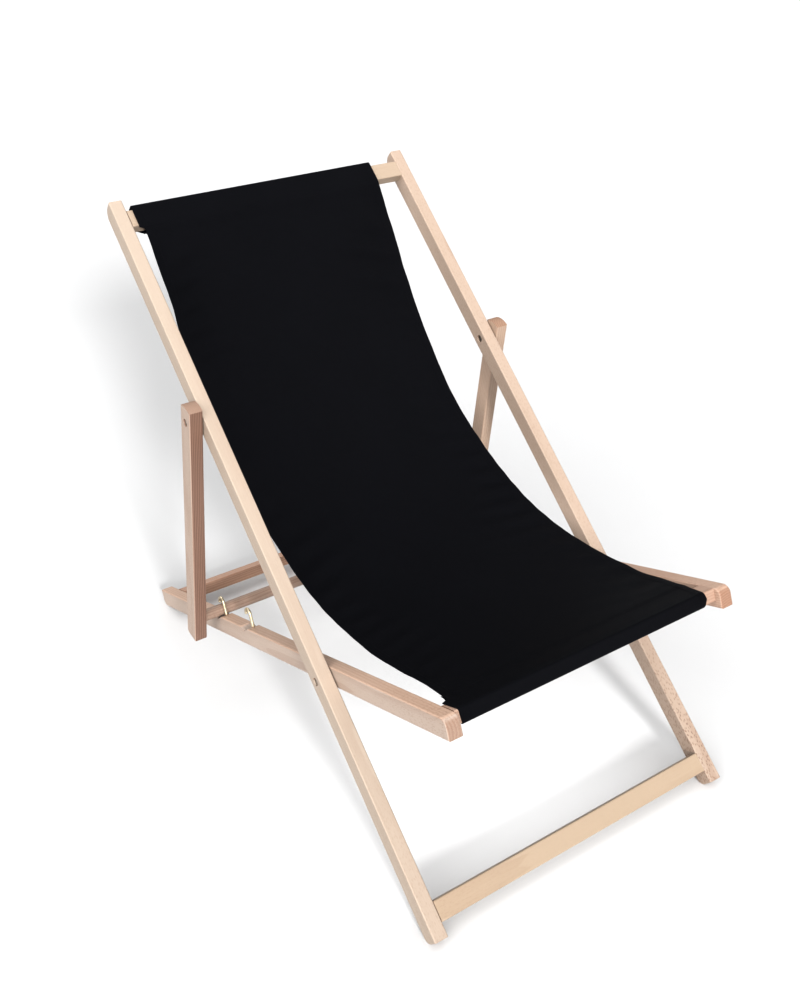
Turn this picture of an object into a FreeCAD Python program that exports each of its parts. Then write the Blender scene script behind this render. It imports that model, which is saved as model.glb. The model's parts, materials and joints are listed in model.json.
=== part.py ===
import FreeCAD, Part
import math
import os

# Folding deck chair: three beech frames on pivots and a canvas sling.
# Millimetres and degrees, +Z up, the sitter faces -Y and +X is on the sitter's left.
# The origin is on the floor, under the middle of the standing chair.
#
# Each frame is drawn in its own lath frame: X across the chair, Y along the lath,
# Z out of its front or top face, with a pivot axis at Y = Z = 0.

V = FreeCAD.Vector

# Lath stock
lath_thick = 22.0            # across the chair
lath_depth = 30.0            # front face to rear face
bar_width = 30.0             # cross bars, along the lath
bar_thick = 20.0             # cross bars, out of the frame's face
edge_round = 2.0             # hand-eased long edges
foot_round = 12.0            # rear or lower corner of the ends that stand on the floor
head_round = 19.0            # rear corner of the back rails' tops
leg_round = 8.0              # rear corner of the prop legs' lower ends
leg_crown = 3.3              # rise of the prop legs' arched tops
nose_round = 12.0            # top corner of the seat rails' front ends

# Back frame, lengths from the frame pivot along the rail
back_rail_below = 388.0
back_rail_above = 812.0
pivot_spacing = 431.0        # frame pivot to prop pivot
rung_from_foot = 20.0        # foot end of the rail to the rung
top_bar_from_end = 20.0      # top end of the rail to the top bar

# Seat frame, lengths from the frame pivot along the rail
seat_rail_front = 311.0
seat_rail_rear = 684.0
front_bar_from_end = 11.0
rear_bar_from_end = 34.0

# Prop frame, lengths from the prop pivot along the leg
prop_below = 450.0
prop_above = 24.0
prop_reach = 413.5           # prop pivot to the prop bar
prop_bar_dia = 20.0
prop_tenon_dia = 12.0
prop_tenon_length = 14.0

# Notches in the seat rails' tops, measured behind the frame pivot
notch_seat = 409.0           # the notch that the prop bar stands in
notch_step = 111.0           # from there forward to the upright notch
notch_depth = 6.0
notch_half_width = 15.0
notch_bottom_round = 4.0
bar_above_rail = 8.0         # prop bar's axis above the rail's top face
lip_relief = 2.2             # lead-out behind the notch in use, deepest at the notch
lip_length = 60.0
cut_over = 2.0               # how far the notch cutters stand out of the wood

# Widths across the chair
seat_outer_half = 250.0
side_gap = 1.5               # washer gap between neighbouring laths
rest_flat = 0.8              # flat worn into each foot, measured off its round

# Pivot hardware, at both pivots on both sides
barrel_dia = 9.0
screw_dia = 6.0
head_dia = 11.5
head_thick = 4.0
head_recess = 2.0            # head below the wood's face
counterbore_dia = 12.5
screw_engagement = 21.0
screw_end_room = 2.0         # free bore past the screw's tip
washer_dia = 20.0
running_gap = 0.08           # radial, wood on barrel
fit_gap = 0.05               # radial or end gap in glued and screwed fits

# Stub tenons on the cross bars
tenon_width = 20.0
tenon_thick = 10.0
tenon_length = 14.0

# Screwed-in brass hooks over the notches
hook_wire_dia = 5.0
hook_ahead = 14.5            # shank in front of the notch
hook_bend_radius = 8.0
hook_shank = 22.0            # shank above the rail's top
hook_tip = 2.5               # straight end after the bend
hook_in_wood = 14.0
hook_flats = 8               # the wire is drawn with few faces

# Canvas sling
cloth_thick = 1.6
cloth_side_room = 8.5        # hem to seat rail
cloth_gap = 0.4              # cloth to bar, and sheet to sleeve
top_hem_shift = -17.0        # the top hem sits off centre on its bar
sag = 217.0                  # greatest depth under the straight line between the bars
sag_share = 0.51             # where along that line
top_slope = 38.0             # cloth against that line at the top bar
front_slope = 47.0           # and at the seat's front bar

# The standing chair, worked out from the lengths above
half_depth = lath_depth / 2
bar_lift = half_depth + bar_above_rail
seat_reach = math.hypot(notch_seat, bar_lift)
reach_angle = math.degrees(math.atan2(bar_lift, notch_seat))
pivot_cosine = (pivot_spacing ** 2 + seat_reach ** 2 - prop_reach ** 2) / (2 * pivot_spacing * seat_reach)
frame_angle = math.degrees(math.acos(pivot_cosine)) + reach_angle
opening = math.radians(frame_angle)
foot_arm = back_rail_below - foot_round
tail_arm = seat_rail_rear - foot_round
foot_drop = half_depth - foot_round
back_angle = math.degrees(math.atan2(
    tail_arm * math.sin(opening) + foot_drop * math.cos(opening) - foot_drop,
    foot_arm + tail_arm * math.cos(opening) - foot_drop * math.sin(opening)))
seat_angle = frame_angle - back_angle
pivot_height = (foot_arm * math.sin(math.radians(back_angle))
                + foot_drop * math.cos(math.radians(back_angle)) + foot_round - rest_flat)

# Places across the chair, on the +X side
seat_inner_half = seat_outer_half - lath_thick
back_inner_half = seat_outer_half + side_gap
back_outer_half = back_inner_half + lath_thick
prop_inner_half = back_outer_half + side_gap
prop_outer_half = prop_inner_half + lath_thick
cloth_width = 2 * (seat_inner_half - cloth_side_room)

# Bar centres, in their lath frames
bar_lift_in_frame = half_depth - bar_thick / 2
top_bar_at = back_rail_above - top_bar_from_end - bar_width / 2
rung_at = -back_rail_below + rung_from_foot + bar_width / 2
front_bar_at = -seat_rail_front + front_bar_from_end + bar_width / 2
rear_bar_at = seat_rail_rear - rear_bar_from_end - bar_width / 2


def turned(point, angle):
    # A lath-frame point (along, out) turned into the chair's Y and Z.
    along, out = point
    c = math.cos(math.radians(angle))
    s = math.sin(math.radians(angle))
    return V(0, along * c - out * s, along * s + out * c)


frame_pivot = V(0, 0, pivot_height)
prop_pivot = frame_pivot + turned((pivot_spacing, 0), back_angle)
bar_axis = frame_pivot + turned((notch_seat, bar_lift), -seat_angle)
prop_up = prop_pivot - bar_axis
prop_angle = math.degrees(math.atan2(prop_up.z, prop_up.y))


def stand(shape, angle, pivot):
    # Carries a shape from its lath frame to its place in the standing chair.
    placed = shape.copy()
    placed.rotate(V(0, 0, 0), V(1, 0, 0), angle)
    placed.translate(pivot)
    return placed


def mirrored(shape):
    return shape.mirror(V(0, 0, 0), V(1, 0, 0))


def rounded_outline(corners, x):
    # Closed wire in the plane at x through (along, out, radius, rise) corners, in the
    # sense that has the wood on the left. A radius of 0 is a sharp corner. A rise arches
    # the edge from that corner to the next one outwards.
    count = len(corners)
    points = [V(x, along, out) for along, out, _, _ in corners]
    starts = []
    middles = []
    ends = []
    for i in range(count):
        radius = corners[i][2]
        back = points[i - 1] - points[i]
        ahead = points[(i + 1) % count] - points[i]
        back.normalize()
        ahead.normalize()
        half = back.getAngle(ahead) / 2
        bisector = back + ahead
        bisector.normalize()
        run = radius / math.tan(half)
        starts.append(points[i] + back * run)
        middles.append(points[i] + bisector * (radius / math.sin(half) - radius))
        ends.append(points[i] + ahead * run)
    edges = []
    for i in range(count):
        radius, rise = corners[i][2], corners[i][3]
        following = starts[(i + 1) % count]
        span = following - ends[i]
        if radius > 0:
            edges.append(Part.Arc(starts[i], middles[i], ends[i]).toShape())
        if rise > 0:
            outward = V(0, span.z, -span.y)
            outward.normalize()
            edges.append(Part.Arc(ends[i], ends[i] + span * 0.5 + outward * rise, following).toShape())
        elif span.Length > 1e-6:
            edges.append(Part.LineSegment(ends[i], following).toShape())
    return Part.Wire(edges)


def lath(corners, x_low, ends_eased):
    # A lath drawn by its side outline, with its long edges eased, and its ends too if asked.
    blank = Part.Face(rounded_outline(corners, x_low)).extrude(V(lath_thick, 0, 0))
    rims = [e for e in blank.Edges if e.BoundBox.XLength < 1e-6]
    if not ends_eased:
        rims = [e for e in rims if e.Length > 2 * lath_depth]
    return blank.makeFillet(edge_round, rims)


def section_corners(near, far, low, high, radius):
    # Corners of a rounded rectangle.
    return [(near, low, radius, 0), (far, low, radius, 0), (far, high, radius, 0), (near, high, radius, 0)]


def across(x_from, x_to, along, out, dia):
    # A round rod parallel to X between two places.
    low = min(x_from, x_to)
    return Part.makeCylinder(dia / 2, abs(x_to - x_from), V(low, along, out), V(1, 0, 0))


def barrel_hole(along, x_face, x_far):
    # Through hole for a pivot barrel, with the head's counterbore at x_face.
    hole = across(x_face, x_far, along, 0, barrel_dia + 2 * running_gap)
    depth = head_thick + head_recess + fit_gap
    bottom = x_face - depth if x_face > x_far else x_face + depth
    return hole.fuse(across(x_face, bottom, along, 0, counterbore_dia))


def tenon(bar_at, x_low, x_high, room):
    # Rectangular tongue on a bar's axis between two places, or its mortise with room round it.
    wide = tenon_width + 2 * room
    thick = tenon_thick + 2 * room
    return Part.makeBox(x_high - x_low, wide, thick,
                        V(x_low, bar_at - wide / 2, bar_lift_in_frame - thick / 2))


def mortise(bar_at, inner_half):
    # The blind mortise for one bar end, in the rail on the +X side.
    return tenon(bar_at, inner_half, inner_half + tenon_length + fit_gap, fit_gap)


def cross_bar(bar_at, half_length):
    # Cross bar between two rails, flush with their front or top faces, tenoned into both.
    low = bar_lift_in_frame - bar_thick / 2
    high = bar_lift_in_frame + bar_thick / 2
    corners = section_corners(bar_at - bar_width / 2, bar_at + bar_width / 2, low, high, edge_round)
    bar = Part.Face(rounded_outline(corners, -half_length)).extrude(V(2 * half_length, 0, 0))
    end = half_length + tenon_length
    return bar.fuse(tenon(bar_at, -end, end, 0.0)).removeSplitter()


def flat_foot(shape):
    # Cuts the foot's round to a small flat on the floor.
    box = shape.BoundBox
    margin = lath_thick
    below = Part.makeBox(box.XLength + 2 * margin, box.YLength + 2 * margin, lath_depth,
                         V(box.XMin - margin, box.YMin - margin, -lath_depth))
    return shape.cut(below)


def back_rail():
    rail = lath([(-back_rail_below, -half_depth, foot_round, 0),
                 (back_rail_above, -half_depth, head_round, 0),
                 (back_rail_above, half_depth, 0, 0),
                 (-back_rail_below, half_depth, 0, 0)],
                back_inner_half, True)
    holes = [barrel_hole(0, back_outer_half, back_inner_half),
             barrel_hole(pivot_spacing, back_inner_half, back_outer_half),
             mortise(top_bar_at, back_inner_half), mortise(rung_at, back_inner_half)]
    for hole in holes:
        rail = rail.cut(hole)
    return flat_foot(stand(rail, back_angle, frame_pivot))


def notch_cut(at):
    # Prism of one notch: a shallow vee with a rounded bottom, open above the rail.
    spread = notch_half_width * (1 + cut_over / notch_depth)
    mouth = half_depth + cut_over
    corners = [(at - spread, mouth, 0, 0), (at, half_depth - notch_depth, notch_bottom_round, 0),
               (at + spread, mouth, 0, 0)]
    face = Part.Face(rounded_outline(corners, seat_inner_half - cut_over))
    return face.extrude(V(lath_thick + 2 * cut_over, 0, 0))


def lip_cut():
    # Wedge that eases the rail's top behind the notch in use.
    x = seat_inner_half - cut_over
    end = notch_seat + lip_length
    mouth = half_depth + cut_over
    corners = [V(x, notch_seat, half_depth - lip_relief), V(x, end, half_depth),
               V(x, end, mouth), V(x, notch_seat, mouth)]
    face = Part.Face(Part.makePolygon(corners + [corners[0]]))
    return face.extrude(V(lath_thick + 2 * cut_over, 0, 0))


def notch_places():
    return {"rear": notch_seat, "front": notch_seat - notch_step}


def hook_x():
    return seat_inner_half + lath_thick / 2


def seat_rail():
    rail = lath([(-seat_rail_front, -half_depth, 0, 0),
                 (seat_rail_rear, -half_depth, foot_round, 0),
                 (seat_rail_rear, half_depth, 0, 0),
                 (-seat_rail_front, half_depth, nose_round, 0)],
                seat_inner_half, True)
    cuts = [barrel_hole(0, seat_inner_half, seat_outer_half), lip_cut(),
            mortise(front_bar_at, seat_inner_half), mortise(rear_bar_at, seat_inner_half)]
    for at in notch_places().values():
        cuts.append(notch_cut(at))
        cuts.append(hook_hole(at))
    for cut in cuts:
        rail = rail.cut(cut)
    return flat_foot(stand(rail, -seat_angle, frame_pivot))


def wire_section(at, height, room):
    # Face of the hook wire's section at its shank, with room round it for a hole.
    reach = hook_wire_dia / 2 + room
    corners = []
    for i in range(hook_flats):
        turn = 2 * math.pi * (i + 0.5) / hook_flats
        corners.append(V(hook_x() + math.cos(turn) * reach, at - hook_ahead + math.sin(turn) * reach, height))
    return Part.Face(Part.makePolygon(corners + [corners[0]]))


def hook_hole(at):
    depth = hook_in_wood + fit_gap
    return wire_section(at, half_depth, fit_gap).extrude(V(0, 0, -depth))


def stop_hook(at):
    # Bent wire hook: straight shank, half-circle bend to the rear, short tip.
    shank_top = half_depth + hook_shank
    section = wire_section(at, shank_top, 0.0)
    shank = section.extrude(V(0, 0, -hook_in_wood - hook_shank))
    bend = section.revolve(V(hook_x(), at - hook_ahead + hook_bend_radius, shank_top), V(-1, 0, 0), 180)
    tip = section.extrude(V(0, 0, -hook_tip))
    tip.translate(V(0, 2 * hook_bend_radius, 0))
    return stand(shank.fuse([bend, tip]).removeSplitter(), -seat_angle, frame_pivot)


def prop_leg():
    leg = lath([(-prop_below, -half_depth, leg_round, 0),
                (prop_above, -half_depth, 0, leg_crown),
                (prop_above, half_depth, 0, 0),
                (-prop_below, half_depth, 0, 0)],
               prop_inner_half, False)
    leg = leg.cut(barrel_hole(0, prop_outer_half, prop_inner_half))
    leg = leg.cut(across(prop_inner_half, prop_inner_half + prop_tenon_length + fit_gap,
                         -prop_reach, 0, prop_tenon_dia + 2 * fit_gap))
    return stand(leg, prop_angle, prop_pivot)


def prop_bar():
    # Round bar with a shouldered tenon at each end.
    shoulder = prop_inner_half - fit_gap
    end = prop_inner_half + prop_tenon_length
    bar = across(-shoulder, shoulder, -prop_reach, 0, prop_bar_dia)
    bar = bar.fuse(across(-end, end, -prop_reach, 0, prop_tenon_dia)).removeSplitter()
    return stand(bar, prop_angle, prop_pivot)


def pivot_screw(x_outer):
    # Screw whose head sits in the counterbore of the outer face at x_outer.
    head_outer = x_outer - head_recess
    head_inner = head_outer - head_thick
    screw = across(head_inner, head_outer, 0, 0, head_dia)
    return screw.fuse(across(head_inner - screw_engagement, head_inner, 0, 0, screw_dia)).removeSplitter()


def sleeve_nut(x_inner, x_outer):
    # Barrel nut whose head sits in the counterbore of the inner face at x_inner.
    head_outer = x_inner + head_recess
    barrel_start = head_outer + head_thick
    screw_head = x_outer - head_recess - head_thick
    barrel_end = screw_head - fit_gap
    nut = across(head_outer, barrel_start, 0, 0, head_dia)
    nut = nut.fuse(across(barrel_start, barrel_end, 0, 0, barrel_dia)).removeSplitter()
    bore_start = screw_head - screw_engagement - screw_end_room
    return nut.cut(across(bore_start, barrel_end, 0, 0, screw_dia + 2 * fit_gap))


def pivot_washer(x_low):
    ring = across(x_low + fit_gap, x_low + side_gap - fit_gap, 0, 0, washer_dia)
    return ring.cut(across(x_low, x_low + side_gap, 0, 0, barrel_dia + 2 * running_gap))


def sleeve(bar_at, half_length, shift):
    # Canvas hem sewn into a tube round a cross bar.
    rings = []
    for offset in (cloth_gap + cloth_thick, cloth_gap):
        low = bar_lift_in_frame - bar_thick / 2 - offset
        high = bar_lift_in_frame + bar_thick / 2 + offset
        near = bar_at - bar_width / 2 - offset
        far = bar_at + bar_width / 2 + offset
        corners = section_corners(near, far, low, high, edge_round + offset)
        face = Part.Face(rounded_outline(corners, shift - half_length))
        rings.append(face.extrude(V(2 * half_length, 0, 0)))
    return rings[0].cut(rings[1])


def arc_through(start, heading, end):
    # Centre, radius and the two angles of the arc that leaves start along heading and ends at end.
    normal = V(0, -heading.z, heading.y)
    span = end - start
    reach = span.dot(span) / (2 * normal.dot(span))
    centre = start + normal * reach
    first = math.atan2(start.z - centre.z, start.y - centre.y)
    last = math.atan2(end.z - centre.z, end.y - centre.y)
    if reach < 0 and last > first:
        last -= 2 * math.pi
    if reach > 0 and last < first:
        last += 2 * math.pi
    return centre, abs(reach), first, last


def two_arcs(start, heading, end, end_heading):
    # Two tangent arcs from start to end with the given headings.
    span = end - start
    both = heading + end_heading
    spread = 2 * (1 - heading.dot(end_heading))
    arm = (math.sqrt(span.dot(both) ** 2 + spread * span.dot(span)) - span.dot(both)) / spread
    joint = (start + end + (heading - end_heading) * arm) * 0.5
    meeting = joint - (start + heading * arm)
    meeting.normalize()
    return [arc_through(start, heading, joint), arc_through(joint, meeting, end)]


def arc_point(arc, share, offset):
    centre, radius, first, last = arc
    angle = first + (last - first) * share
    return centre + V(0, math.cos(angle), math.sin(angle)) * (radius + offset)


def sling_ends():
    # The sheet starts under the top hem's front face and ends at the front hem's top face.
    skin = half_depth + cloth_gap + cloth_thick / 2
    hem = bar_width / 2 + cloth_gap + cloth_thick + cloth_gap
    top = frame_pivot + turned((top_bar_at - hem, skin), back_angle)
    front = frame_pivot + turned((front_bar_at + hem, skin), -seat_angle)
    return top, front


def sling_arcs():
    # Four arcs from the top bar to the seat's front bar, through the lowest point of the sag.
    top, front = sling_ends()
    chord = front - top
    along = chord * (1 / chord.Length)
    down = V(0, -along.z, along.y)
    low = top + chord * sag_share + down * sag
    top_turn = math.radians(top_slope)
    front_turn = math.radians(front_slope)
    top_heading = along * math.cos(top_turn) + down * math.sin(top_turn)
    front_heading = along * math.cos(front_turn) - down * math.sin(front_turn)
    return two_arcs(top, top_heading, low, along) + two_arcs(low, along, front, front_heading)


def sling():
    # The hanging sheet: its arcs, given the cloth's thickness, carried across the
    # chair and trimmed to sides that run from the top hem's place to the front hem's.
    arcs = sling_arcs()
    skins = []
    for offset in (-cloth_thick / 2, cloth_thick / 2):
        skins.append([Part.Arc(arc_point(a, 0, offset), arc_point(a, 0.5, offset),
                               arc_point(a, 1, offset)).toShape() for a in arcs])
    start = Part.LineSegment(arc_point(arcs[0], 0, -cloth_thick / 2), arc_point(arcs[0], 0, cloth_thick / 2))
    end = Part.LineSegment(arc_point(arcs[-1], 1, -cloth_thick / 2), arc_point(arcs[-1], 1, cloth_thick / 2))
    outline = Part.Wire(Part.__sortEdges__(skins[0] + skins[1] + [start.toShape(), end.toShape()]))
    sheet = Part.Face(outline).extrude(V(2 * cloth_width, 0, 0))
    sheet.translate(V(-cloth_width, 0, 0))
    top, front = sling_ends()
    chord = front - top
    over = chord * (lath_depth / chord.Length)
    lean = V(-top_hem_shift * lath_depth / chord.Length, 0, 0)
    away = V(0, -chord.z, chord.y)
    away.normalize()
    half = V(cloth_width / 2, 0, 0)
    high = top - over + V(top_hem_shift, 0, 0) - lean
    near = front + over + lean
    corners = [high - half, high + half, near + half, near - half]
    trim = Part.Face(Part.makePolygon(corners + [corners[0]])).extrude(away * (4 * sag))
    trim.translate(away * (-2 * sag))
    return sheet.common(trim)


def pair(shape):
    # A piece on the +X side and its mirror image, kept as one node.
    return Part.makeCompound([shape, mirrored(shape)])


def build():
    pieces = {}
    laths = {"back_rail_": back_rail(), "seat_rail_": seat_rail(), "prop_leg_": prop_leg()}
    for name, shape in laths.items():
        pieces[name + "left"] = shape
        pieces[name + "right"] = mirrored(shape)
    for place, at in notch_places().items():
        pieces["stop_hooks_" + place] = pair(stop_hook(at))
    pivots = {
        "frame_pivot": (seat_inner_half, seat_outer_half, back_outer_half, V(0, 0, 0)),
        "prop_pivot": (back_inner_half, back_outer_half, prop_outer_half, V(0, pivot_spacing, 0)),
    }
    for name, (inner, gap_low, outer, shift) in pivots.items():
        hardware = {"_screws": pivot_screw(outer), "_sleeve_nuts": sleeve_nut(inner, outer),
                    "_washers": pivot_washer(gap_low)}
        for kind, shape in hardware.items():
            shape.translate(shift)
            pieces[name + kind] = pair(stand(shape, back_angle, frame_pivot))
    bars = {
        "top_bar": (top_bar_at, back_inner_half, back_angle),
        "front_rung": (rung_at, back_inner_half, back_angle),
        "seat_front_bar": (front_bar_at, seat_inner_half, -seat_angle),
        "seat_rear_bar": (rear_bar_at, seat_inner_half, -seat_angle),
    }
    for name, (at, half_length, angle) in bars.items():
        pieces[name] = stand(cross_bar(at, half_length), angle, frame_pivot)
    pieces["prop_bar"] = prop_bar()
    half_cloth = cloth_width / 2
    top_hem = sleeve(top_bar_at, half_cloth, top_hem_shift)
    front_hem = sleeve(front_bar_at, half_cloth, 0.0)
    pieces["canvas_top_hem"] = stand(top_hem, back_angle, frame_pivot)
    pieces["canvas_front_hem"] = stand(front_hem, -seat_angle, frame_pivot)
    pieces["canvas_sling"] = sling()
    return pieces


def footprint_middle(pieces):
    # Middle of the chair's box, front to rear.
    box = Part.makeCompound(list(pieces.values())).optimalBoundingBox(False, False)
    return (box.YMin + box.YMax) / 2


def main():
    os.makedirs("parts", exist_ok=True)
    pieces = build()
    middle = footprint_middle(pieces)
    for name, shape in pieces.items():
        shape.translate(V(0, -middle, 0))
        shape.exportStep("parts/" + name + ".step")
    cloth_length = sum(radius * abs(last - first) for _, radius, first, last in sling_arcs())
    print("back angle %.3f, seat angle %.3f, prop angle %.3f" % (back_angle, seat_angle, prop_angle))
    for name, place in (("frame pivot", frame_pivot), ("prop pivot", prop_pivot), ("prop bar", bar_axis)):
        print("%s at y %.3f z %.3f" % (name, place.y - middle, place.z))
    print("free sling length %.1f" % cloth_length)
    print("arc radii", ["%.0f" % arc[1] for arc in sling_arcs()])


main()
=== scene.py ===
import bpy
import json
import math
import numpy as np
from mathutils import Matrix


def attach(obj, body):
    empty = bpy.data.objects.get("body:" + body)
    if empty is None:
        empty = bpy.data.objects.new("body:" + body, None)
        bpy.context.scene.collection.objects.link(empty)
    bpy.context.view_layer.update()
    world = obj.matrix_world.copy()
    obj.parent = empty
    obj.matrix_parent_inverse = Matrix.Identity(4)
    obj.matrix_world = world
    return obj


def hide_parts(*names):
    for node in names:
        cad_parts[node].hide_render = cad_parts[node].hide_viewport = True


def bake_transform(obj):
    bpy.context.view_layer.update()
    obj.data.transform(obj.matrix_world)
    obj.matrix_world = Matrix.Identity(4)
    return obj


# Folding deck chair: beech frames from the CAD, with a black canvas sling, its stitching and brass hooks.
# Metres, +Z up, the sitter faces -Y and +X is on the sitter's left.

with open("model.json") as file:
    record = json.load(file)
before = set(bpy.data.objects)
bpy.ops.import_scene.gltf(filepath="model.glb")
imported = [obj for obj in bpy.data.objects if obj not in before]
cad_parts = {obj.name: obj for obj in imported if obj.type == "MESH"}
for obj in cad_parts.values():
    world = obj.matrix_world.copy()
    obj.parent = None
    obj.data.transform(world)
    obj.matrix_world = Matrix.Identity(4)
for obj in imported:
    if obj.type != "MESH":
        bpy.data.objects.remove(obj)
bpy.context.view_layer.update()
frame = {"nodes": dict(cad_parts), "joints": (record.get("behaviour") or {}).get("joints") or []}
nodes = frame["nodes"]


# Lath frames: each folding frame is a pivot and an angle in the YZ plane.
# A point is (x, along the lath, out of its front or top face).

def nodePoints(name):
    mesh = nodes[name].data
    flat = np.zeros(len(mesh.vertices) * 3, np.float32)
    mesh.vertices.foreach_get("co", flat)
    return flat.reshape(-1, 3).astype(float)


def boxMiddle(name):
    points = nodePoints(name)
    return (points.min(0) + points.max(0))[1:] / 2


def slope(start, end):
    return math.atan2(end[1] - start[1], end[0] - start[0])


def toWorld(lath, along, out):
    # along and out turned by the lath's angle, then moved to its pivot: gives (y, z)
    turn = lath["angle"]
    along, out = np.asarray(along, float), np.asarray(out, float)
    y = lath["pivot"][0] + along * math.cos(turn) - out * math.sin(turn)
    z = lath["pivot"][1] + along * math.sin(turn) + out * math.cos(turn)
    return np.stack([y, z], -1)


def lathBox(name, lath):
    # lowest and highest (x, along, out) of a node, measured in its lath's frame
    points = nodePoints(name)
    turn = lath["angle"]
    y = points[:, 1] - lath["pivot"][0]
    z = points[:, 2] - lath["pivot"][1]
    along = y * math.cos(turn) + z * math.sin(turn)
    out = z * math.cos(turn) - y * math.sin(turn)
    local = np.stack([points[:, 0], along, out], 1)
    return local.min(0), local.max(0)


pivots = {joint["name"]: joint["pos_m"][1:] for joint in frame["joints"]}
framePivot, propPivot = pivots["seat_fold"], pivots["prop_swing"]
backLath = dict(pivot=framePivot, angle=slope(framePivot, propPivot))
seatLath = dict(pivot=framePivot, angle=slope(boxMiddle("seat_front_bar"), boxMiddle("seat_rear_bar")))
propLath = dict(pivot=propPivot, angle=slope(boxMiddle("prop_bar"), propPivot))


# Mesh helpers

def gridFaces(rows, columns):
    # quads of a rows x columns grid whose columns close into a ring
    row, column = np.meshgrid(np.arange(rows - 1), np.arange(columns), indexing="ij")
    after = (column + 1) % columns
    corners = [row * columns + column, row * columns + after,
               (row + 1) * columns + after, (row + 1) * columns + column]
    return np.stack(corners, -1).reshape(-1, 4)


def makePiece(name, points, faces, material, uv=None):
    mesh = bpy.data.meshes.new(name)
    mesh.from_pydata(np.asarray(points).reshape(-1, 3).tolist(), [], faces)
    if uv is not None:
        loopVertex = np.zeros(len(mesh.loops), np.int32)
        mesh.loops.foreach_get("vertex_index", loopVertex)
        layer = mesh.uv_layers.new(name="weave")
        layer.data.foreach_set("uv", np.asarray(uv, np.float32).reshape(-1, 2)[loopVertex].ravel())
    mesh.polygons.foreach_set("use_smooth", np.ones(len(mesh.polygons), bool))
    mesh.materials.append(material)
    mesh.update()
    piece = bpy.data.objects.new(name, mesh)
    bpy.context.scene.collection.objects.link(piece)
    return piece


# Shader helpers and the shared effects

def newGroup(name, inputs, outputs):
    group = bpy.data.node_groups.new(name, "ShaderNodeTree")
    for label, kind, value in inputs:
        socket = group.interface.new_socket(label, in_out="INPUT", socket_type="NodeSocket" + kind)
        socket.default_value = value
    for label, kind in outputs:
        group.interface.new_socket(label, in_out="OUTPUT", socket_type="NodeSocket" + kind)
    return group, group.nodes.new("NodeGroupInput").outputs, group.nodes.new("NodeGroupOutput").inputs


def addNode(tree, kind, inputs=None, **settings):
    node = tree.nodes.new("ShaderNode" + kind)
    for key, value in settings.items():
        setattr(node, key, value)
    for key, value in (inputs or {}).items():
        if isinstance(value, bpy.types.NodeSocket):
            tree.links.new(value, node.inputs[key])
        else:
            node.inputs[key].default_value = value
    return node


def calc(tree, operation, first, second=0.0, third=0.0):
    node = addNode(tree, "Math", {0: first, 1: second, 2: third}, operation=operation)
    return node.outputs[0]


def stretched(tree, place, scale):
    return addNode(tree, "Mapping", {"Vector": place, "Scale": scale}).outputs[0]


def noiseAt(tree, place, scale, detail=2.0, roughness=0.5):
    # noise whose scale is given for each axis, in lumps to the metre
    vector = stretched(tree, place, scale)
    settings = {"Vector": vector, "Scale": 1.0, "Detail": detail, "Roughness": roughness}
    return addNode(tree, "TexNoise", settings).outputs[0]


def ramp(tree, value, low, high):
    # value taken from low..high to 0..1, smoothly
    node = addNode(tree, "MapRange", {"Value": value, "From Min": low, "From Max": high},
                   interpolation_type="SMOOTHSTEP")
    return node.outputs["Result"]


def blendColour(tree, share, first, second):
    # inputs 6 and 7 and output 2 are the colour sockets of a Mix node
    return addNode(tree, "Mix", {"Factor": share, 6: first, 7: second}, data_type="RGBA").outputs[2]


grain = dict(   # lumps to the metre across, along and across the grain
    wander=(14, 2.2, 14),
    shiver=(120, 9, 120),
    fibre=(1500, 24, 1500),
    patch=(18, 3, 18),
    fleck=(430, 150, 430),
    pore=(2600, 420, 2600),
    wanderReach=0.016,       # metres by which the rings wander, and shiver
    shiverReach=0.0008,
    lateFrom=0.25,           # share of a year's growth where the late wood sets in, and where it ends
    lateTo=0.95,
    fleckEdge=(0.22, 0.40),  # distance from a fleck's middle, as a share of its cell
    poreEdge=(0.58, 0.75),
    fibreMiddle=0.45,        # noise value that leaves the tone as it is
    patchMiddle=0.5,
    patchShare=0.35,
    endShare=0.65,           # how much deeper in tone the end grain is
    fibreHeight=0.5,         # shares of the bump's depth
    lateHeight=0.25,
    poreHeight=0.6,
    rough=0.40,
    fibreRough=0.16,
    endRough=0.2,
)


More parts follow.
